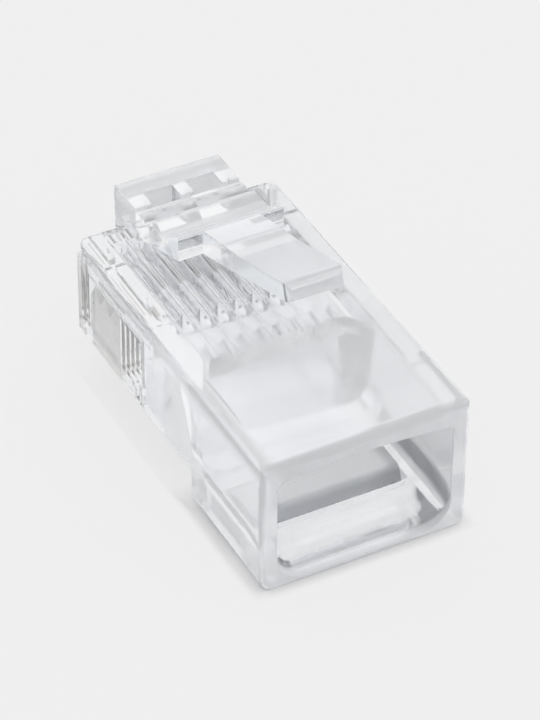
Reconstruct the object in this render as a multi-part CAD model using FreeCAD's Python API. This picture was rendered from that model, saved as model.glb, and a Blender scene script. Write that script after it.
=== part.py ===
import FreeCAD, Part
import math
import os
from FreeCAD import Vector

# Eight-way modular plug, millimetres.
# X runs across the width, +Y runs from the cable entry to the nose, +Z is the latch side.
# While it is built, y is measured from the cable entry face and z from the rear underside.
# The finished pieces are moved so that the origin is the middle of the plug's footprint.

# ---- body ----
body_width = 11.68
body_length = 21.0
rear_height = 8.0
nose_height = 6.4
step_y = 7.5
lower_edge_radius = 0.9
upper_edge_radius = 0.25
entry_top_radius = 0.55
entry_bottom_radius = 0.2
plan_corner_radius = 0.3
step_edge_radius = 0.2
nose_edge_radius = 0.3

# ---- set-back upper rim of the nose ----
rim_height = 1.0
rim_setback = 0.2
rim_corner_radius = 0.7

# ---- cable cavity ----
side_wall = 0.89
roof_wall = 1.0
roof_arch = 0.25
floor_wall = 1.4
cavity_low_radius = 1.6
cavity_high_radius = 0.4
mouth_length = 2.5
mouth_drop = 1.1
mouth_sections = 5
funnel_start = 8.0
funnel_end = 9.7
funnel_low_radius = 0.35
sill_thickness = 0.7

# ---- conductor channels and contact slots ----
ways = 8
pitch = 1.02
channel_width = 0.92
channel_low_radius = 0.4
channel_high_radius = 0.12
channel_roof = 1.54
channel_front_wall = 0.6
lead_in = 0.5
lead_in_growth = 0.04
wire_slot_width = 0.52
wire_slot_depth = 0.65
wire_slot_rear_reach = 1.45

# ---- contacts ----
contact_thickness = 0.32
contact_length = 3.65
contact_front_setback = 0.5
contact_proud = 0.35
contact_relief = 0.1
barb_low = 2.0
barb_high = 2.6
tine_count = 3
tine_height = 0.9
tine_tip_below_channel = 0.14
contact_front_radius = 0.6
contact_rear_radius = 0.3
slide_clearance = 0.02

# ---- key block and its stubs ----
key_width = 6.04
key_height = 1.9
key_overhang = 1.0
key_front_wall = 1.45
key_edge_radius = 0.2
key_chin_depth = 1.0
rib_width = 0.75
cheek_width = 0.97

# ---- latch ----
latch_hinge_from_front = 3.25
latch_hinge_radius = 0.72
latch_gap_under = 0.43
latch_free_angle = 19.0
hinge_clearance = 0.02
root_drop = 0.15
slab_front_from_front = 4.2
slab_rear_from_front = 5.85
slab_height = 0.3
latch_edge_radius = 0.12
shoulder_from_front = 7.5
shoulder_station = 4.8
shoulder_thickness = 1.4
tail_width = 3.25
tail_start_station = 4.4
tail_start_thickness = 1.2
tail_root_radius = 0.3
kink_station = 8.95
kink_thickness = 1.07
latch_reach = 13.95
tail_end_thickness = 1.0
tail_edge_radius = 0.42
tail_corner_radius = 0.35

# ---- jacket clamp, under the cable cavity ----
clamp_gap = 0.15
clamp_width = 7.8
clamp_hinge_y = 3.2
clamp_hinge_z = 0.45
clamp_hinge_radius = 0.3
clamp_front_y = 6.6
clamp_front_height = 1.2
clamp_crest_height = 1.95
clamp_crest_rear = 0.25
clamp_crest_front = 1.9
clamp_crest_radius = 0.45
clamp_neck_rise = 0.5

# ---- conductor clamp, under the channels ----
press_width = 8.1
press_rear_y = 11.55
press_length = 2.35
press_base_recess = 0.15
press_top_below_channel = 0.85
press_edge_radius = 0.25

# ---- values worked out from the ones above ----
half_width = body_width / 2
nose_floor = rear_height - nose_height
front_y = body_length + key_overhang
overall_length = front_y
cavity_half = half_width - side_wall
cavity_roof = rear_height - roof_wall
channel_half = channel_width / 2
channel_z = rear_height - channel_roof - channel_half
channel_end = body_length - channel_front_wall
channels_half = (ways - 1) * pitch / 2 + channel_half
sill_height = nose_floor + sill_thickness
contact_front = body_length - contact_front_setback
contact_rear = contact_front - contact_length
contact_base = nose_floor - contact_proud
contact_top = channel_z - channel_half - tine_tip_below_channel
key_top = rear_height + key_height
latch_hinge_y = front_y - latch_hinge_from_front
latch_hinge_z = rear_height + latch_gap_under + latch_hinge_radius
shoulder_y = front_y - shoulder_from_front
press_top = channel_z - channel_half - press_top_below_channel
cut_margin = 1.0

TO_ORIGIN = Vector(0, -overall_length / 2, 0)


def unit(vector):
    """The vector of length 1 in the same direction."""
    return vector.multiply(1 / vector.Length)


def outline(corners, to_space):
    """Closed wire through (a, b, radius) corners, each rounded by its own radius; 0 keeps it sharp."""
    flat = [Vector(a, b, 0) for a, b, _ in corners]
    spans = []
    for index, (_, _, radius) in enumerate(corners):
        corner = flat[index]
        back = unit(flat[index - 1] - corner)
        ahead = unit(flat[(index + 1) % len(flat)] - corner)
        if radius == 0:
            spans.append((corner, None, corner))
            continue
        half_turn = back.getAngle(ahead) / 2
        bisector = unit(back + ahead)
        reach = radius / math.tan(half_turn)
        centre = corner + bisector * (radius / math.sin(half_turn))
        spans.append((corner + back * reach, centre - bisector * radius, corner + ahead * reach))
    edges = []
    for index, (start, middle, end) in enumerate(spans):
        if middle is not None:
            edges.append(Part.Arc(to_space(start), to_space(middle), to_space(end)).toShape())
        following = spans[(index + 1) % len(spans)][0]
        if (following - end).Length > 1e-6:
            edges.append(Part.makeLine(to_space(end), to_space(following)))
    return Part.Wire(edges)


def across(corners, width, middle=0.0):
    """Side profile in (y, z) carried across the width, centred on x = middle."""
    left = middle - width / 2
    wire = outline(corners, lambda p: Vector(left, p.x, p.y))
    return Part.Face(wire).extrude(Vector(width, 0, 0))


def along(corners, start, end):
    """Front profile in (x, z) carried from y = start to y = end."""
    wire = outline(corners, lambda p: Vector(p.x, start, p.y))
    return Part.Face(wire).extrude(Vector(0, end - start, 0))


def upward(corners, bottom, top):
    """Plan profile in (x, y) carried from z = bottom to z = top."""
    wire = outline(corners, lambda p: Vector(p.x, p.y, bottom))
    return Part.Face(wire).extrude(Vector(0, 0, top - bottom))


def block(width, rear, front, bottom, top, middle=0.0):
    """Plain rectangular space centred on x = middle."""
    corner = Vector(middle - width / 2, rear, bottom)
    return Part.makeBox(width, front - rear, top - bottom, corner)


def bar(radius, start, length, direction):
    """Round bar from a start point along a direction."""
    return Part.makeCylinder(radius, length, start, direction)


def way_x(way):
    """Place of one of the eight ways across the width."""
    return (way - (ways - 1) / 2) * pitch


def body_section(floor, start, end):
    """One stretch of the body: straight sides, large lower edges, small upper edges."""
    corners = [
        (-half_width, floor, lower_edge_radius),
        (half_width, floor, lower_edge_radius),
        (half_width, rear_height, upper_edge_radius),
        (-half_width, rear_height, upper_edge_radius),
    ]
    return along(corners, start, end)


def outer_body():
    """Deep rear box and shallower nose, trimmed to the side view and to the plan view."""
    deep = body_section(0, 0, step_y)
    shallow = body_section(nose_floor, step_y, body_length)
    side_view = across(
        [
            (0, 0, entry_bottom_radius),
            (step_y, 0, step_edge_radius),
            (step_y, nose_floor, step_edge_radius),
            (body_length, nose_floor, nose_edge_radius),
            (body_length, rear_height, nose_edge_radius),
            (0, rear_height, entry_top_radius),
        ],
        body_width + cut_margin,
    )
    plan_view = upward(plan_corners(body_length, plan_corner_radius), 0, rear_height)
    body = deep.fuse(shallow).removeSplitter()
    return body.common(side_view).common(plan_view)


def plan_corners(front, nose_radius):
    """Plan outline of the body with the nose corners rounded by nose_radius."""
    return [
        (-half_width, 0, plan_corner_radius),
        (half_width, 0, plan_corner_radius),
        (half_width, front, nose_radius),
        (-half_width, front, nose_radius),
    ]


def rim_trim():
    """Waste outside the upper rim, which stands back from the nose and has rounder corners."""
    rim_base = rear_height - rim_height
    rim_front = body_length - rim_setback
    rim_rear = body_length - rim_setback - rim_corner_radius - nose_edge_radius
    around = block(body_width + cut_margin, rim_rear, front_y, rim_base, rear_height + cut_margin)
    kept = upward(plan_corners(rim_front, rim_corner_radius), rim_base, rear_height + cut_margin)
    return around.cut(kept)


def key_block():
    """Key on the nose: an overhanging front wall, two cheeks and a rib that carry the latch."""
    wall_rear = front_y - key_front_wall
    chin_z = rear_height - key_chin_depth
    front_wall = across(
        [
            (wall_rear, key_top, 0),
            (wall_rear, chin_z, 0),
            (front_y, chin_z, key_edge_radius),
            (front_y, key_top, key_edge_radius),
        ],
        key_width,
    )
    stub_rear = latch_hinge_y + latch_hinge_radius / 2
    cheek_middle = (key_width - cheek_width) / 2
    carriers = [(rib_width, 0.0), (cheek_width, -cheek_middle), (cheek_width, cheek_middle)]
    key = front_wall
    for width, middle in carriers:
        stub = block(width, stub_rear, wall_rear, chin_z, key_top, middle)
        key = key.fuse(stub)
    return key.cut(hinge_seat()).removeSplitter()


def hinge_seat():
    """Round seat of the latch root, open to the top behind the hinge."""
    radius = latch_hinge_radius + hinge_clearance
    width = key_width + cut_margin
    start = Vector(-width / 2, latch_hinge_y, latch_hinge_z)
    round_seat = bar(radius, start, width, Vector(1, 0, 0))
    above = block(width, latch_hinge_y, latch_hinge_y + radius, latch_hinge_z, key_top + cut_margin)
    return round_seat.fuse(above)


def cavity_wire(y, half, floor, roof, arch, low_radius, high_radius):
    """Section of the cable cavity at one y: round lower corners and a slightly arched roof."""
    low = low_radius * math.sin(math.pi / 4)
    high = high_radius * math.sin(math.pi / 4)
    left, right = -half, half
    top = roof - arch
    points = {
        "floor_left": Vector(left + low_radius, y, floor),
        "floor_right": Vector(right - low_radius, y, floor),
        "right_low": Vector(right, y, floor + low_radius),
        "right_high": Vector(right, y, top - high_radius),
        "roof_right": Vector(right - high_radius, y, top),
        "roof_left": Vector(left + high_radius, y, top),
        "left_high": Vector(left, y, top - high_radius),
        "left_low": Vector(left, y, floor + low_radius),
    }
    turn_low_right = Vector(right - low_radius + low, y, floor + low_radius - low)
    turn_low_left = Vector(left + low_radius - low, y, floor + low_radius - low)
    turn_high_right = Vector(right - high_radius + high, y, top - high_radius + high)
    turn_high_left = Vector(left + high_radius - high, y, top - high_radius + high)
    edges = [
        Part.makeLine(points["floor_left"], points["floor_right"]),
        Part.Arc(points["floor_right"], turn_low_right, points["right_low"]).toShape(),
        Part.makeLine(points["right_low"], points["right_high"]),
        Part.Arc(points["right_high"], turn_high_right, points["roof_right"]).toShape(),
        Part.Arc(points["roof_right"], Vector(0, y, roof), points["roof_left"]).toShape(),
        Part.Arc(points["roof_left"], turn_high_left, points["left_high"]).toShape(),
        Part.makeLine(points["left_high"], points["left_low"]),
        Part.Arc(points["left_low"], turn_low_left, points["floor_left"]).toShape(),
    ]
    return Part.Wire(edges)


def cavity_section(y, floor):
    """Section of the wide stretch of the cavity, with its floor at the given height."""
    return cavity_wire(
        y,
        cavity_half,
        floor,
        cavity_roof,
        roof_arch,
        cavity_low_radius,
        cavity_high_radius,
    )


def cavity_prism(start, end, floor):
    """Straight stretch of the cable cavity."""
    wire = cavity_section(start, floor)
    return Part.Face(wire).extrude(Vector(0, end - start, 0))


def cable_mouth():
    """Bell mouth: the floor falls along a quarter ellipse to the rear edge."""
    sections = []
    for index in range(mouth_sections):
        share = index / (mouth_sections - 1)
        y = mouth_length * share * share
        fall = mouth_drop * (1 - math.sqrt(1 - (1 - y / mouth_length) ** 2))
        floor = floor_wall - fall
        sections.append(cavity_section(y, floor))
    return Part.makeLoft(sections, True, False)


def cable_cavity():
    """Mouth, main stretch, raised sill and the funnel that gathers the conductors."""
    window_front = clamp_front_y + clamp_gap
    main = cavity_prism(mouth_length, window_front, floor_wall)
    sill = cavity_prism(window_front - cut_margin, funnel_start, sill_height)
    wide = cavity_section(funnel_start, sill_height)
    channel_floor = channel_z - channel_half
    channel_roof_z = channel_z + channel_half
    narrow = cavity_wire(
        funnel_end, channels_half, channel_floor, channel_roof_z, 0.01, funnel_low_radius, funnel_low_radius
    )
    funnel = Part.makeLoft([wide, narrow], True, True)
    return [cable_mouth(), main, sill, funnel]


def channel_corners(x, growth):
    """Front profile of a conductor channel: flat roof, round floor, each side moved out by growth."""
    reach = channel_half + growth
    return [
        (x - reach, channel_z - reach, channel_low_radius),
        (x + reach, channel_z - reach, channel_low_radius),
        (x + reach, channel_z + reach, channel_high_radius),
        (x - reach, channel_z + reach, channel_high_radius),
    ]


def conductor_channel(x):
    """Channel for one conductor, with a slightly wider lead-in at the funnel."""
    mouth_y = funnel_end - lead_in
    neck_y = funnel_end + lead_in
    mouth = outline(channel_corners(x, lead_in_growth), lambda p: Vector(p.x, mouth_y, p.y))
    neck = outline(channel_corners(x, 0), lambda p: Vector(p.x, neck_y, p.y))
    straight = along(channel_corners(x, 0), neck_y, channel_end)
    return straight.fuse(Part.makeLoft([mouth, neck], True, True))


def contact_slot(x):
    """Slot that guides one contact from the underside up to its channel."""
    width = contact_thickness + 2 * slide_clearance
    rear = contact_rear - slide_clearance
    front = contact_front + slide_clearance
    return block(width, rear, front, nose_floor - cut_margin, channel_z, x)


def wire_slot(x):
    """Groove between the nose ribs, open at the front, where the socket's wire lies."""
    rear = contact_rear - wire_slot_rear_reach
    top = nose_floor + wire_slot_depth
    corners = [
        (rear, nose_floor - cut_margin, 0),
        (body_length + cut_margin, nose_floor - cut_margin, 0),
        (body_length + cut_margin, top + nose_edge_radius, 0),
        (body_length - nose_edge_radius, top, nose_edge_radius),
        (rear, top, wire_slot_depth / 2),
    ]
    return across(corners, wire_slot_width, x)


def jacket_window():
    """Window in the floor around the jacket clamp, with the round seat of its hinge."""
    width = clamp_width + 2 * clamp_gap
    front = clamp_front_y + clamp_gap
    opening = block(width, clamp_hinge_y, front, -cut_margin, floor_wall + cut_margin)
    start = Vector(-width / 2, clamp_hinge_y, clamp_hinge_z)
    seat = bar(clamp_hinge_radius + hinge_clearance, start, width, Vector(1, 0, 0))
    above = block(
        width,
        clamp_hinge_y - clamp_hinge_radius - hinge_clearance,
        clamp_hinge_y,
        clamp_hinge_z,
        floor_wall + cut_margin,
    )
    below = block(
        width,
        clamp_hinge_y - clamp_hinge_radius / 2,
        clamp_hinge_y,
        -cut_margin,
        clamp_hinge_z,
    )
    return opening.fuse(seat).fuse(above).fuse(below)


def conductor_window():
    """Shaft of the conductor clamp from the underside up into the channels."""
    width = press_width + 2 * clamp_gap
    rear = press_rear_y - clamp_gap
    front = press_rear_y + press_length + clamp_gap
    return block(width, rear, front, nose_floor - cut_margin, channel_z)


def housing():
    """The clear moulding with everything that is hollowed out of it."""
    solid = outer_body().cut(rim_trim()).fuse(key_block()).removeSplitter()
    waste = cable_cavity()
    waste.append(jacket_window())
    waste.append(conductor_window())
    for way in range(ways):
        x = way_x(way)
        waste.append(conductor_channel(x))
        waste.append(contact_slot(x))
        waste.append(wire_slot(x))
    for piece in waste:
        solid = solid.cut(piece)
    return solid


def tail_profile():
    """Side view of the tail laid level: (y, z) corners from inside the shoulder back to its end."""
    base = latch_hinge_z - latch_hinge_radius

    def top_at(station, thickness, radius):
        return (latch_hinge_y - station, base + thickness, radius)

    return [
        top_at(tail_start_station, 0, 0),
        top_at(tail_start_station, tail_start_thickness, 0),
        top_at(shoulder_station, shoulder_thickness, tail_root_radius),
        top_at(kink_station, kink_thickness, latch_hinge_radius),
        top_at(latch_reach, tail_end_thickness, tail_edge_radius),
        (latch_hinge_y - latch_reach, base, 0),
    ]


def raised(station, above_base):
    """Place (y, z) on the free latch, station back from the hinge and above_base over its underside."""
    turn = math.radians(latch_free_angle)
    rise = above_base - latch_hinge_radius
    y = latch_hinge_y - station * math.cos(turn) + rise * math.sin(turn)
    return y, latch_hinge_z + station * math.sin(turn) + rise * math.cos(turn)


def wide_profile():
    """Side view of the wide part at its free angle: root bar, raised slab, ramp and locking shoulder."""
    slab_front = front_y - slab_front_from_front
    slab_rear = front_y - slab_rear_from_front
    root_top = key_top - root_drop
    slab_top = key_top + slab_height
    start_y, start_z = raised(0, 0)
    ramp_z = raised(shoulder_station, shoulder_thickness)[1]
    under_z = start_z + (start_y - shoulder_y) * math.tan(math.radians(latch_free_angle))
    return [
        (latch_hinge_y, latch_hinge_z, 0),
        (latch_hinge_y + latch_hinge_radius, latch_hinge_z, 0),
        (latch_hinge_y + latch_hinge_radius, root_top, latch_edge_radius),
        (slab_front, root_top, latch_edge_radius),
        (slab_front, slab_top, latch_edge_radius),
        (slab_rear, slab_top, latch_edge_radius),
        (shoulder_y, ramp_z, latch_edge_radius),
        (shoulder_y, under_z, 0),
        (start_y, start_z, 0),
    ]


def latch():
    """Lever with a round root, a wide locking shoulder and a narrower finger tail."""
    root = bar(
        latch_hinge_radius,
        Vector(-key_width / 2, latch_hinge_y, latch_hinge_z),
        key_width,
        Vector(1, 0, 0),
    )
    tail_plan = upward(
        [
            (-tail_width / 2, latch_hinge_y, 0),
            (tail_width / 2, latch_hinge_y, 0),
            (tail_width / 2, latch_hinge_y - latch_reach, tail_corner_radius),
            (-tail_width / 2, latch_hinge_y - latch_reach, tail_corner_radius),
        ],
        latch_hinge_z - cut_margin,
        latch_hinge_z + shoulder_thickness + cut_margin,
    )
    tail = across(tail_profile(), tail_width).common(tail_plan)
    pivot = Vector(0, latch_hinge_y, latch_hinge_z)
    tail.rotate(pivot, Vector(1, 0, 0), -latch_free_angle)
    return across(wide_profile(), key_width).fuse(root).fuse(tail).removeSplitter()


def jacket_clamp():
    """Wedge bar that swings up on its rear edge and bites the cable jacket."""
    base = clamp_hinge_z - clamp_hinge_radius
    crest_rear = clamp_hinge_y + clamp_crest_rear
    crest_front = clamp_hinge_y + clamp_crest_front
    wedge = across(
        [
            (clamp_hinge_y, base, 0),
            (clamp_front_y, base, clamp_hinge_radius / 2),
            (clamp_front_y, clamp_front_height, clamp_hinge_radius / 2),
            (crest_front, clamp_crest_height, clamp_crest_radius),
            (crest_rear, clamp_crest_height, clamp_crest_radius),
            (clamp_hinge_y, clamp_hinge_z + clamp_neck_rise, 0),
        ],
        clamp_width,
    )
    start = Vector(-clamp_width / 2, clamp_hinge_y, clamp_hinge_z)
    return wedge.fuse(bar(clamp_hinge_radius, start, clamp_width, Vector(1, 0, 0))).removeSplitter()


def conductor_clamp():
    """Bar that is pressed up into the channels and holds the conductors."""
    return across(
        [
            (press_rear_y, nose_floor + press_base_recess, press_edge_radius),
            (press_rear_y + press_length, nose_floor + press_base_recess, press_edge_radius),
            (press_rear_y + press_length, press_top, press_edge_radius),
            (press_rear_y, press_top, press_edge_radius),
        ],
        press_width,
    )


def contact(x):
    """Stamped blade with relieved edges, a barb at each end and pointed tines."""
    rear = contact_rear + contact_relief
    front = contact_front - contact_relief
    tine_base = contact_top - tine_height
    corners = [
        (rear, contact_base, contact_rear_radius),
        (front, contact_base, contact_front_radius),
        (front, contact_base + barb_low, 0),
        (contact_front, contact_base + barb_low, 0),
        (front, contact_base + barb_high, 0),
        (front, tine_base, 0),
    ]
    tine_step = (front - rear) / tine_count
    for tine in range(tine_count):
        tine_front = front - tine * tine_step
        corners.append((tine_front - tine_step / 2, contact_top, 0))
        corners.append((tine_front - tine_step, tine_base, 0))
    corners.append((rear, contact_base + barb_high, 0))
    corners.append((contact_rear, contact_base + barb_low, 0))
    corners.append((rear, contact_base + barb_low, 0))
    return across(corners, contact_thickness, x)


def save(name, shape):
    """Move a finished piece to the shared origin and write it."""
    placed = shape.copy()
    placed.translate(TO_ORIGIN)
    placed.exportStep(os.path.join("parts", name + ".step"))
    print(name, "solids", len(placed.Solids), "volume", round(placed.Volume, 3), "valid", placed.isValid())


os.makedirs("parts", exist_ok=True)
save("housing", housing())
save("latch", latch())
save("jacket_clamp", jacket_clamp())
save("conductor_clamp", conductor_clamp())
for way in range(ways):
    save("contact_" + str(way + 1), contact(way_x(way)))
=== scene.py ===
# %% [markdown]
# # A clear modular plug
# The plug is one clear polycarbonate moulding with a springy latch, two small clamps in its underside and
# eight gold contacts. Every piece already has its true shape in the frame, down to the ribs, the channels and
# the living hinge, so nothing is modelled twice here. This lesson is about what light does with a clear
# moulding: polished faces, satin faces, a thin milky skin, and metal seen through plastic.

# %% Load the frame
import math
import bpy
import numpy as np
from mathutils import Matrix, Vector


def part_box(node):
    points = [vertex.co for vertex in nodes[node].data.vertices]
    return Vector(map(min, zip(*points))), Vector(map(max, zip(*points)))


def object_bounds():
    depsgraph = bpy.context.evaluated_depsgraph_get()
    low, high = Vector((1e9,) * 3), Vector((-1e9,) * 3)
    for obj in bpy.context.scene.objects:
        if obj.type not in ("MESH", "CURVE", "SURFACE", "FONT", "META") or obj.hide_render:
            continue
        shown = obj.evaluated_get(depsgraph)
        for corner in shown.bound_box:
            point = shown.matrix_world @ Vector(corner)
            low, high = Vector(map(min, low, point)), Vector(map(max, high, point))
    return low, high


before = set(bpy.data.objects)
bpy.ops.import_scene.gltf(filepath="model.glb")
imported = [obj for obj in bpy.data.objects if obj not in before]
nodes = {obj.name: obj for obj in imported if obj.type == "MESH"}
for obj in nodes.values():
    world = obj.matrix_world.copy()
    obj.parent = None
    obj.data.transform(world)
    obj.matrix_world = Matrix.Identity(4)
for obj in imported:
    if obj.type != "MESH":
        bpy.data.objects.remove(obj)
cad_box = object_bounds()
MM = 0.001
print("pieces:", ", ".join(sorted(nodes)))
print("box in mm:", [[round(v / MM, 2) for v in corner] for corner in cad_box])

# %% [markdown]
# ## Camera
# A small product is photographed from well back with a long lens, so that its far end is nearly as large as
# its near end. The camera could be aimed with a constraint, but a few plain numbers are easier to change: its
# bearing, its height angle, its distance from an aim point, and how far it is then slid across the picture.

# %% Camera
VIEW_BEARING = math.radians(-28.1)
VIEW_HEIGHT = math.radians(38.8)
VIEW_ROLL = math.radians(0.55)
VIEW_DISTANCE = 178.8 * MM
VIEW_AIM = Vector((0.0, -0.5, 4.0)) * MM
VIEW_SLIDE = Vector((0.157, 0.922)) * MM
LENS = 232.2
SENSOR = 36.0
NEAREST = 5 * MM


def camera_axes():
    """Back = (sin a cos e, -cos a cos e, sin e), right = Z x back, up = back x right, then the roll."""
    level = math.cos(VIEW_HEIGHT)
    back = Vector((
        math.sin(VIEW_BEARING) * level,
        -math.cos(VIEW_BEARING) * level,
        math.sin(VIEW_HEIGHT),
    ))
    right = Vector((0, 0, 1)).cross(back).normalized()
    roll = Matrix.Rotation(VIEW_ROLL, 3, back)
    return roll @ right, roll @ back.cross(right), back


def place_camera():
    """Camera at its distance from the aim point along back, then slid along right and up."""
    right, up, back = camera_axes()
    data = bpy.data.cameras.new("camera")
    data.sensor_fit = "HORIZONTAL"
    data.sensor_width = SENSOR
    data.lens = LENS
    data.clip_start = NEAREST
    camera = bpy.data.objects.new("camera", data)
    bpy.context.scene.collection.objects.link(camera)
    place = VIEW_AIM + back * VIEW_DISTANCE + right * VIEW_SLIDE.x + up * VIEW_SLIDE.y
    camera.matrix_world = Matrix.Translation(place) @ Matrix((right, up, back)).transposed().to_4x4()
    bpy.context.scene.camera = camera
    return camera


camera = place_camera()
print("camera at", [round(v / MM, 1) for v in camera.matrix_world.translation], "mm")

# %% [markdown]
# ## Colours and nodes
# A colour picked on a screen is not the amount of light that a renderer adds up, so each hex value is turned
# to linear light once, here. One helper adds a shader node of any kind with its settings and its links.

# %% Helpers for colours and nodes


def linear(hex_value):
    """sRGB hex to linear RGBA: divide by 12.92 near black, else ((c + 0.055) / 1.055) to the power 2.4."""
    parts = np.array([int(hex_value[i:i + 2], 16) / 255 for i in (1, 3, 5)])
    light = np.where(parts <= 0.04045, parts / 12.92, ((parts + 0.055) / 1.055) ** 2.4)
    return (*light.tolist(), 1.0)


def add_node(tree, kind, inputs=None, **settings):
    """One node of a kind. Settings are its properties. An input given a socket is linked, others are set."""
    node = tree.nodes.new(kind)
    for name, value in settings.items():
        setattr(node, name, value)
    for name, value in (inputs or {}).items():
        if isinstance(value, bpy.types.NodeSocket):
            tree.links.new(value, node.inputs[name])
        else:
            node.inputs[name].default_value = value
    return node


def new_material(name):
    """An empty node material, and its tree."""
    material = bpy.data.materials.new(name)
    material.use_nodes = True
    material.node_tree.nodes.clear()
    return material, material.node_tree


PAPER = linear("#F7F7F7")
print("paper white in linear light:", [round(v, 3) for v in PAPER])

# %% [markdown]
# ## Masks
# A finish that changes over a piece is a mask: a number from 0 to 1 at each point, worked out from the
# point's own place. It could be painted, but a painted mask has to be done again when the shape changes. A
# mask made of ramps along X, Y and Z follows the sizes of the part instead. These helpers make ramps and join
# them.

# %% Helpers for masks


def axes(tree, vector):
    """The X, Y and Z parts of a vector."""
    split = add_node(tree, "ShaderNodeSeparateXYZ", {"Vector": vector})
    return split.outputs["X"], split.outputs["Y"], split.outputs["Z"]


def chain(tree, operation, first, others):
    """The first value joined to each of the others in turn."""
    for other in others:
        first = add_node(tree, "ShaderNodeMath", {0: first, 1: other}, operation=operation).outputs[0]
    return first


def both(tree, first, *others):
    """Product of masks: 1 only where each of them is 1. A plain number may be one of the others."""
    return chain(tree, "MULTIPLY", first, others)


def either(tree, first, *others):
    """Largest of the masks."""
    return chain(tree, "MAXIMUM", first, others)


def size_of(tree, value):
    """A value without its sign, such as the distance from the middle."""
    return add_node(tree, "ShaderNodeMath", {0: value}, operation="ABSOLUTE").outputs[0]


def ramp(tree, value, start, end, low=0.0, high=1.0):
    """low at start, high at end, and t x t x (3 - 2 t) between them; end may be the lower of the two."""
    inputs = {"Value": value, "From Min": start, "From Max": end, "To Min": low, "To Max": high}
    return add_node(tree, "ShaderNodeMapRange", inputs, interpolation_type="SMOOTHSTEP").outputs["Result"]


print("helpers:", ", ".join(helper.__name__ for helper in (axes, both, either, size_of, ramp)))

# %% [markdown]
# ## The sizes that the masks follow
# Where a finish starts and stops is a matter of the mould, so it is measured on the housing itself. The deep
# rear box ends where the underside steps up, and the top of the body is the highest point behind that step.
# The key's front face is the furthest point forward.

# %% Measure the housing


def points_of(piece):
    """All corners of a piece as an array of X, Y, Z rows."""
    flat = np.empty(len(piece.data.vertices) * 3, dtype=np.float32)
    piece.data.vertices.foreach_get("co", flat)
    return flat.reshape(-1, 3)


SLIVER = 0.1 * MM
housing_points = points_of(nodes["housing"])
(_, REAR_FACE, _), (BODY_SIDE, KEY_FRONT, _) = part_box("housing")
STEP = float(housing_points[housing_points[:, 2] < SLIVER, 1].max())
BODY_TOP = float(housing_points[housing_points[:, 1] < STEP, 2].max())
key_points = housing_points[housing_points[:, 1] > KEY_FRONT - SLIVER]
KEY_SIDE = float(np.abs(key_points[:, 0]).max())
KEY_TOP = float(key_points[:, 2].max())
print("step at", round(STEP / MM, 2), "mm, body top at", round(BODY_TOP / MM, 2), "mm")
print("key reaches", round(KEY_SIDE / MM, 2), "mm from the middle and", round(KEY_TOP / MM, 2), "mm up")

# %% [markdown]
# ## Floor of the cable cavity
# The cavity is formed by a core that is drawn out through the cable mouth. Its floor, the bell mouth and the
# low corners are the coarsest faces of the moulding, because the core drags over them. Several finishes need
# to know where they are, so they get a mask of their own: low down, inside the side walls and behind the
# step.

# %% Mask of the cavity's floor
SIDE_WALL = 0.85 * MM
INSIDE_WALL = (BODY_SIDE - SIDE_WALL + 0.15 * MM, BODY_SIDE - SIDE_WALL)
ABOVE_BOTTOM = (0.1 * MM, 0.25 * MM)
BELOW_WALLS = (3.4 * MM, 2.6 * MM)
INSIDE_MOUTH = (REAR_FACE + 0.02 * MM, REAR_FACE + 0.1 * MM)
BEHIND_STEP = (STEP + 0.5 * MM, STEP - 0.5 * MM)


def cavity_floor(tree, place):
    """1 on the floor, the bell mouth and the low corners of the cable cavity, 0 elsewhere."""
    x, y, z = axes(tree, place)
    inside = ramp(tree, size_of(tree, x), *INSIDE_WALL)
    low = both(tree, ramp(tree, z, *ABOVE_BOTTOM), ramp(tree, z, *BELOW_WALLS))
    depth = both(tree, ramp(tree, y, *INSIDE_MOUTH), ramp(tree, y, *BEHIND_STEP))
    return both(tree, inside, low, depth)


print("inner side walls at", round((BODY_SIDE - SIDE_WALL) / MM, 2), "mm from the middle")

# %% [markdown]
# ## Where the moulding is satin
# Steel that is polished gives a clear face. Steel that is spark-eroded gives a satin one, which blurs what
# lies behind it. On this plug the rear box is satin and the nose is clear, with a soft change between them
# over the funnel that gathers the wires. The floor of the cable cavity and the front wall of the key are
# coarser still, which a value above 1 in the mask stands for. The two side walls are nearly polished, so that
# the inside of the plug stays crisp when it is seen from the side.

# %% Satin mask of the housing
NOSE_TO_BOX = (STEP + 6.1 * MM, STEP + 2.0 * MM)
NEAR_SIDE = (BODY_SIDE - SIDE_WALL - 0.4 * MM, BODY_SIDE - SIDE_WALL)
KEY_WALL = (KEY_FRONT - 0.3 * MM, KEY_FRONT - 0.05 * MM)
KEY_HEIGHT = (6.9 * MM, 7.0 * MM)
COARSER = 1.8
WALL_SHARE = 0.3


def housing_satin(tree, place):
    """Rear box 1 and its side walls 0.3, the cavity's floor and the key's front wall 1.8, the nose 0."""
    x, y, z = axes(tree, place)
    wall = ramp(tree, size_of(tree, x), *NEAR_SIDE, 1.0, WALL_SHARE)
    rear_box = both(tree, wall, ramp(tree, y, *NOSE_TO_BOX))
    key_wall = both(tree, ramp(tree, y, *KEY_WALL), ramp(tree, z, *KEY_HEIGHT))
    coarse = both(tree, either(tree, key_wall, cavity_floor(tree, place)), COARSER)
    return either(tree, rear_box, coarse)


print("satin from", round(NOSE_TO_BOX[0] / MM, 2), "mm, in full behind", round(NOSE_TO_BOX[1] / MM, 2), "mm")

# %% [markdown]
# ## The milky skin
# A satin face does a second thing: some of the light that meets it goes no further and comes back in all
# directions, as on tracing paper. That lays a pale veil over whatever is behind, and its tone follows how
# much light each face gets, so that the roof is lighter than the end. The veil is in full on the outside of
# the rear box and on the key's top, about half as strong on the rest of the nose, and faint and streaky on
# the cavity's floor. Each streak is about 1 mm across and 4 mm long.

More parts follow.
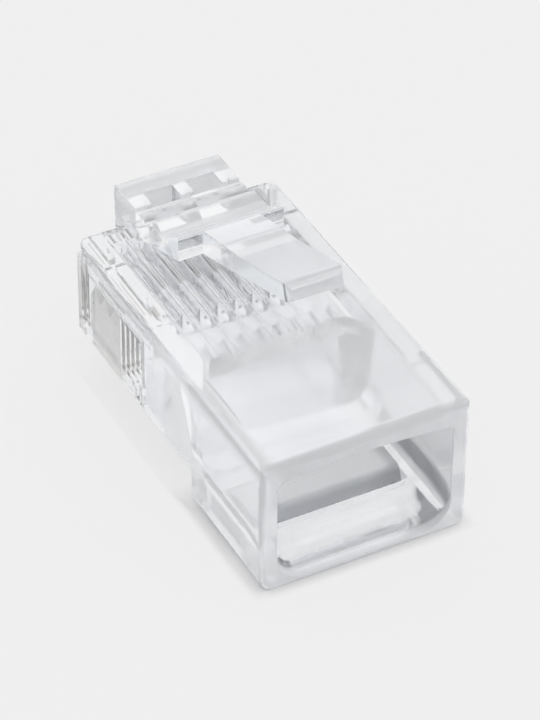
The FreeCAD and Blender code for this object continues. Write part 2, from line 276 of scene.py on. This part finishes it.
# %% Veil mask of the housing
SIDE_SKIN = (BODY_SIDE - 0.4 * MM, BODY_SIDE - 0.2 * MM)
TOP_SKIN = (BODY_TOP - 0.4 * MM, BODY_TOP - 0.2 * MM)
END_SKIN = (REAR_FACE + 0.3 * MM, REAR_FACE + 0.1 * MM)
KEY_SKIN = (KEY_TOP - 0.2 * MM, KEY_TOP - 0.1 * MM)
KEY_WIDTH = (KEY_SIDE + 0.2 * MM, KEY_SIDE)
KEY_LENGTH = (KEY_FRONT - 3.0 * MM, KEY_FRONT - 2.0 * MM)
NOSE_SHARE = 0.45
STREAK_SCALE = 900.0  # noise cells to a metre, about 1 mm each
STREAK_STRETCH = (0.25, 1.0, 1.0)
STREAK_RANGE = (0.3, 0.7)
STREAK_SHARE = 0.35


def outer_veil(tree, place):
    """Outer faces: 1 on the rear box and on the key's top, 0.45 on the rest of the nose."""
    x, y, z = axes(tree, place)
    half = size_of(tree, x)
    skin = either(tree, ramp(tree, half, *SIDE_SKIN), ramp(tree, z, *TOP_SKIN), ramp(tree, y, *END_SKIN))
    key_top = both(tree, ramp(tree, half, *KEY_WIDTH), ramp(tree, y, *KEY_LENGTH), ramp(tree, z, *KEY_SKIN))
    return both(tree, skin, either(tree, key_top, ramp(tree, y, *NOSE_TO_BOX, NOSE_SHARE, 1.0)))


def housing_veil(tree, place):
    """The veil of the outer faces, and streaks of 0 to 0.35 along X on the cavity's floor."""
    stretched = add_node(tree, "ShaderNodeMapping", {"Vector": place, "Scale": STREAK_STRETCH})
    noise = add_node(tree, "ShaderNodeTexNoise",
                     {"Vector": stretched.outputs["Vector"], "Scale": STREAK_SCALE, "Detail": 1.0})
    streaks = ramp(tree, noise.outputs["Fac"], *STREAK_RANGE, 0.0, STREAK_SHARE)
    return either(tree, outer_veil(tree, place), both(tree, cavity_floor(tree, place), streaks))


print("veil on the nose:", NOSE_SHARE, "of the rear box's")

# %% [markdown]
# ## Latch
# The latch is seen from above, through one face and out of the next. Its level faces are satin where light
# goes in and clear where it comes out, so the ribs under it can still be made out. Its sides are clear,
# except at the end of the tail, which is satin all round. The tail, which the thumb presses, is the full
# satin, and the wide block in front of it has a quarter of that. The block ends at the shoulder, which is the
# rearmost of the latch's widest points.

# %% Masks of the latch
latch_points = points_of(nodes["latch"])
half_widths = np.abs(latch_points[:, 0])
SHOULDER = float(latch_points[half_widths > half_widths.max() - SLIVER, 1].min())
BLOCK_TO_TAIL = (SHOULDER + 0.3 * MM, SHOULDER - 0.3 * MM)
TAIL_END = (SHOULDER - 2.0 * MM, SHOULDER - 3.5 * MM)
LEVEL_FACE = (0.7, 0.8)
BLOCK_SHARE = 0.25


def latch_veil(tree, place):
    """1 where light enters a level face or the tail's end, 0 on the other sides and where light leaves."""
    geometry = add_node(tree, "ShaderNodeNewGeometry").outputs
    tilt = size_of(tree, axes(tree, geometry["Normal"])[2])
    face = either(tree, ramp(tree, tilt, *LEVEL_FACE), ramp(tree, axes(tree, place)[1], *TAIL_END))
    return both(tree, face, ramp(tree, geometry["Backfacing"], 1.0, 0.0))


def latch_satin(tree, place):
    """The same, times 1 on the tail and 0.25 on the block."""
    share = ramp(tree, axes(tree, place)[1], *BLOCK_TO_TAIL, BLOCK_SHARE, 1.0)
    return both(tree, share, latch_veil(tree, place))


print("shoulder at", round(SHOULDER / MM, 2), "mm")

# %% [markdown]
# ## Polycarbonate
# The plastic pieces come out of one mould and are one resin, with the refractive index of polycarbonate and
# its faint cool tint. A mix of a glass and a matt shader would also do, but one Principled shader travels
# better to other programs. Its roughness runs from a polished value to a satin one by the first mask, and the
# part of the light that stays in the skin runs from none to the veil by the second. Both roughness values
# drift a little over patches of about 3 mm, as the melt flowed.

# %% Polycarbonate
POLYCARBONATE_IOR = 1.586
FLOW_SCALE = 350.0  # noise cells to a metre, about 3 mm each
FLOW_RANGE = {"From Min": 0.35, "From Max": 0.7}
CLEAR_RESIN = linear("#FCFDFF")
LATCH_RESIN = linear("#F3F4F5")


def flow_marks(tree, flow, lowest, highest):
    """Roughness that drifts between two values as the noise does."""
    inputs = {"Value": flow, **FLOW_RANGE, "To Min": lowest, "To Max": highest}
    return add_node(tree, "ShaderNodeMapRange", inputs).outputs["Result"]


def polycarbonate(name, tint, satin_where, veil_where, polished, satin, veil):
    """Roughness = polished + satin mask x (satin - polished). Transmission = 1 - veil mask x veil."""
    material, tree = new_material(name)
    place = add_node(tree, "ShaderNodeTexCoord").outputs["Object"]
    flow = add_node(tree, "ShaderNodeTexNoise", {"Vector": place, "Scale": FLOW_SCALE, "Detail": 2.0})
    smooth = flow_marks(tree, flow.outputs["Fac"], *polished)
    coarse = flow_marks(tree, flow.outputs["Fac"], *satin)
    rough = add_node(tree, "ShaderNodeMix", {"Factor": satin_where(tree, place), "A": smooth, "B": coarse},
                     clamp_factor=False)
    through = add_node(tree, "ShaderNodeMapRange",
                       {"Value": veil_where(tree, place), "To Min": 1.0, "To Max": 1.0 - veil})
    shader = add_node(tree, "ShaderNodeBsdfPrincipled", {
        "Base Color": tint,
        "IOR": POLYCARBONATE_IOR,
        "Roughness": rough.outputs["Result"],
        "Transmission Weight": through.outputs["Result"],
    })
    add_node(tree, "ShaderNodeOutputMaterial", {"Surface": shader.outputs["BSDF"]})
    print(name, "has", len(tree.nodes), "nodes")
    return material


housing_plastic = polycarbonate("housing_polycarbonate", CLEAR_RESIN, housing_satin, housing_veil,
                                polished=(0.02, 0.04), satin=(0.07, 0.11), veil=0.48)
latch_plastic = polycarbonate("latch_polycarbonate", LATCH_RESIN, latch_satin, latch_veil,
                              polished=(0.02, 0.04), satin=(0.13, 0.19), veil=0.32)
clamp_plastic = polycarbonate("clamp_polycarbonate", CLEAR_RESIN, housing_satin, housing_satin,
                              polished=(0.03, 0.06), satin=(0.2, 0.26), veil=0.15)

# %% [markdown]
# ## Contact metal
# Each contact is stamped from phosphor bronze and flashed with gold, so thin that it looks more like pale
# champagne than like jewellery. Stamping leaves the faces slightly uneven. A real blade's marks are finer
# than can be seen here, so a noise in the roughness draws them about 1 mm from patch to patch.

# %% Contact metal
GOLD_FLASH = linear("#DAD7D1")
STAMPING_SCALE = 900.0  # noise cells to a metre, about 1 mm each
STAMPING_ROUGHNESS = {"To Min": 0.18, "To Max": 0.4}


def contact_metal():
    """Metal with roughness from 0.18 to 0.4 in patches."""
    material, tree = new_material("contact_gold_flash")
    place = add_node(tree, "ShaderNodeTexCoord").outputs["Object"]
    patches = add_node(tree, "ShaderNodeTexNoise", {"Vector": place, "Scale": STAMPING_SCALE, "Detail": 2.0})
    rough = add_node(tree, "ShaderNodeMapRange", {"Value": patches.outputs["Fac"], **STAMPING_ROUGHNESS})
    shader = add_node(tree, "ShaderNodeBsdfPrincipled",
                      {"Base Color": GOLD_FLASH, "Metallic": 1.0, "Roughness": rough.outputs["Result"]})
    add_node(tree, "ShaderNodeOutputMaterial", {"Surface": shader.outputs["BSDF"]})
    return material


contact_gold = contact_metal()
print(contact_gold.name, "is", [round(v, 2) for v in GOLD_FLASH[:3]], "in linear light")

# %% [markdown]
# ## Give each piece its finish
# The frame's pieces keep their shape and their place, and only the materials in their slots change.

# %% Give each piece its finish
FINISHES = {"latch": latch_plastic, "jacket_clamp": clamp_plastic}


def finish_of(name):
    """Gold for a contact, its own resin for the latch and the jacket clamp, the housing's for the rest."""
    return contact_gold if name.startswith("contact_") else FINISHES.get(name, housing_plastic)


for name, piece in nodes.items():
    for index in range(len(piece.data.materials)):
        piece.data.materials[index] = finish_of(name)
    print(name, "->", finish_of(name).name)

# %% [markdown]
# ## Paper
# The plug lies on a sheet of pale paper. A clear thing shows mostly what is behind it, so the paper has to
# look evenly lit through the plastic, and yet keep the plug's shadow where the eye sees it directly. The
# Light Path node tells those rays apart: rays that come through or off a piece see the paper glowing at its
# own colour, and so does the camera, except in a narrow ring round the plug, where real shade is let in. Less
# of that shade is let in under the raised nose, where light gets in from three sides. The paper is left out
# when it is seen from underneath, so that the underside of the plug can be looked at.

# %% Paper
PAPER_SEEN = linear("#EFEFEF")
RING = 0.7 * MM
RING_GLOW = 0.05
OPEN_GLOW = 0.92
UNDER_NOSE = (STEP - 1.0 * MM, STEP + 2.0 * MM)
NOSE_GLOW = 0.8


def beyond(tree, value, edge):
    """How far a value lies past an edge, on either side of the middle."""
    inputs = {0: size_of(tree, value), 1: edge}
    return add_node(tree, "ShaderNodeMath", inputs, operation="SUBTRACT").outputs[0]


def glow_share(tree):
    """1 for rays off or through a piece. For the camera, a ramp outwards from the plug's edge."""
    x, y, _ = axes(tree, add_node(tree, "ShaderNodeTexCoord").outputs["Object"])
    side, end, _ = cad_box[1]
    outwards = either(tree, beyond(tree, x, side), beyond(tree, y, end))
    ring = ramp(tree, outwards, 0.0, RING, RING_GLOW, OPEN_GLOW)
    seen = either(tree, ring, ramp(tree, y, *UNDER_NOSE, 0.0, NOSE_GLOW))
    ray = add_node(tree, "ShaderNodeLightPath").outputs
    direct = both(tree, ray["Is Camera Ray"], seen)
    indirect = either(tree, ray["Is Glossy Ray"], ray["Is Transmission Ray"])
    return add_node(tree, "ShaderNodeMath", {0: direct, 1: indirect}, operation="ADD").outputs[0]


def paper():
    """Matt paper mixed with its own glow, and nothing at all from underneath."""
    material, tree = new_material("floor_paper")
    matt = add_node(tree, "ShaderNodeBsdfPrincipled",
                    {"Base Color": PAPER, "Roughness": 0.9, "Specular IOR Level": 0.0})
    glow = add_node(tree, "ShaderNodeEmission", {"Color": PAPER_SEEN, "Strength": 1.0})
    lit = add_node(tree, "ShaderNodeMixShader", {0: glow_share(tree), 1: matt.outputs[0], 2: glow.outputs[0]})
    underneath = add_node(tree, "ShaderNodeNewGeometry").outputs["Backfacing"]
    nothing = add_node(tree, "ShaderNodeBsdfTransparent")
    sheet = add_node(tree, "ShaderNodeMixShader", {0: underneath, 1: lit.outputs[0], 2: nothing.outputs[0]})
    add_node(tree, "ShaderNodeOutputMaterial", {"Surface": sheet.outputs[0]})
    return material


floor_paper = paper()
print(floor_paper.name, "lets in shade", round(RING / MM, 2), "mm round the plug")

# %% [markdown]
# ## Floor
# The sheet could be curved up behind the plug, as in a studio. It is flat and very wide instead, so that a
# view from above sees paper to the edge of the picture. It lies a hair under the lowest point of the plug.

# %% Floor
FLOOR_SIDE = 4.0
FLOOR_GAP = 0.02 * MM


def lay_floor():
    """One square sheet: four corners at plus and minus half its side."""
    low = cad_box[0][2] - FLOOR_GAP
    half = FLOOR_SIDE / 2
    corners = [(-half, -half, low), (half, -half, low), (half, half, low), (-half, half, low)]
    mesh = bpy.data.meshes.new("floor")
    mesh.from_pydata(corners, [], [(0, 1, 2, 3)])
    mesh.materials.append(floor_paper)
    sheet = bpy.data.objects.new("floor", mesh)
    bpy.context.scene.collection.objects.link(sheet)
    return low


print("floor at", round(lay_floor() / MM, 3), "mm")

# %% [markdown]
# ## Light
# Clear things are shot in a tent: white cloth on all sides, a little brighter and less cool overhead, with an
# opening for the lens. The tent is the world here, because lamps would leave hard spots in every polished
# face. The opening is darker than the cloth, and the faces turned towards it reflect it, which gives them
# their grey edge.

# %% Light
TENT_WALLS = linear("#F7FAFF")
TENT_ROOF = linear("#FFFEFD")
WALLS_TO_ROOF = (0.0, 0.8)
TENT_STRENGTH = {"To Min": 0.97, "To Max": 1.1}
OPENING_DIRECTION = (math.sin(VIEW_BEARING), -math.cos(VIEW_BEARING), 0.0)
OPENING_EDGE = (0.55, 0.9)
OPENING = 0.45


def tent_strength(tree, direction, upward):
    """0.97 + 0.13 x the upward part of the direction, times 0.45 where it points to the opening."""
    cloth = add_node(tree, "ShaderNodeMapRange", {"Value": upward, **TENT_STRENGTH}).outputs["Result"]
    facing = add_node(tree, "ShaderNodeVectorMath", {0: direction, 1: OPENING_DIRECTION},
                      operation="DOT_PRODUCT")
    return both(tree, cloth, ramp(tree, facing.outputs["Value"], *OPENING_EDGE, 1.0, OPENING))


def tent():
    """World of cloth: its colour runs from the walls' to the roof's with the upward part of the direction."""
    world = bpy.data.worlds.new("tent")
    world.use_nodes = True
    tree = world.node_tree
    tree.nodes.clear()
    direction = add_node(tree, "ShaderNodeTexCoord").outputs["Generated"]
    upward = axes(tree, direction)[2]
    colour = add_node(tree, "ShaderNodeMixRGB",
                      {"Fac": ramp(tree, upward, *WALLS_TO_ROOF), "Color1": TENT_WALLS, "Color2": TENT_ROOF})
    light = add_node(tree, "ShaderNodeBackground",
                     {"Color": colour.outputs["Color"], "Strength": tent_strength(tree, direction, upward)})
    add_node(tree, "ShaderNodeOutputWorld", {"Surface": light.outputs["Background"]})
    return world


bpy.context.scene.world = tent()
print("opening towards", [round(v, 2) for v in OPENING_DIRECTION])

# %% [markdown]
# ## Light paths
# A ray that enters the nose meets dozens of faces before it leaves: channels, slots, ribs and walls. Where
# the count of bounces runs out, the plastic turns black, so the count is high for transmission.

# %% Light paths
cycles = bpy.context.scene.cycles
cycles.max_bounces = 40
cycles.transmission_bounces = 40
cycles.glossy_bounces = 24
cycles.diffuse_bounces = 8
print("bounces:", cycles.max_bounces)

# %% [markdown]
# ## Finish
# The Standard view shows each colour as it was written.

# %% Finish
bpy.context.scene.view_settings.view_transform = "Standard"
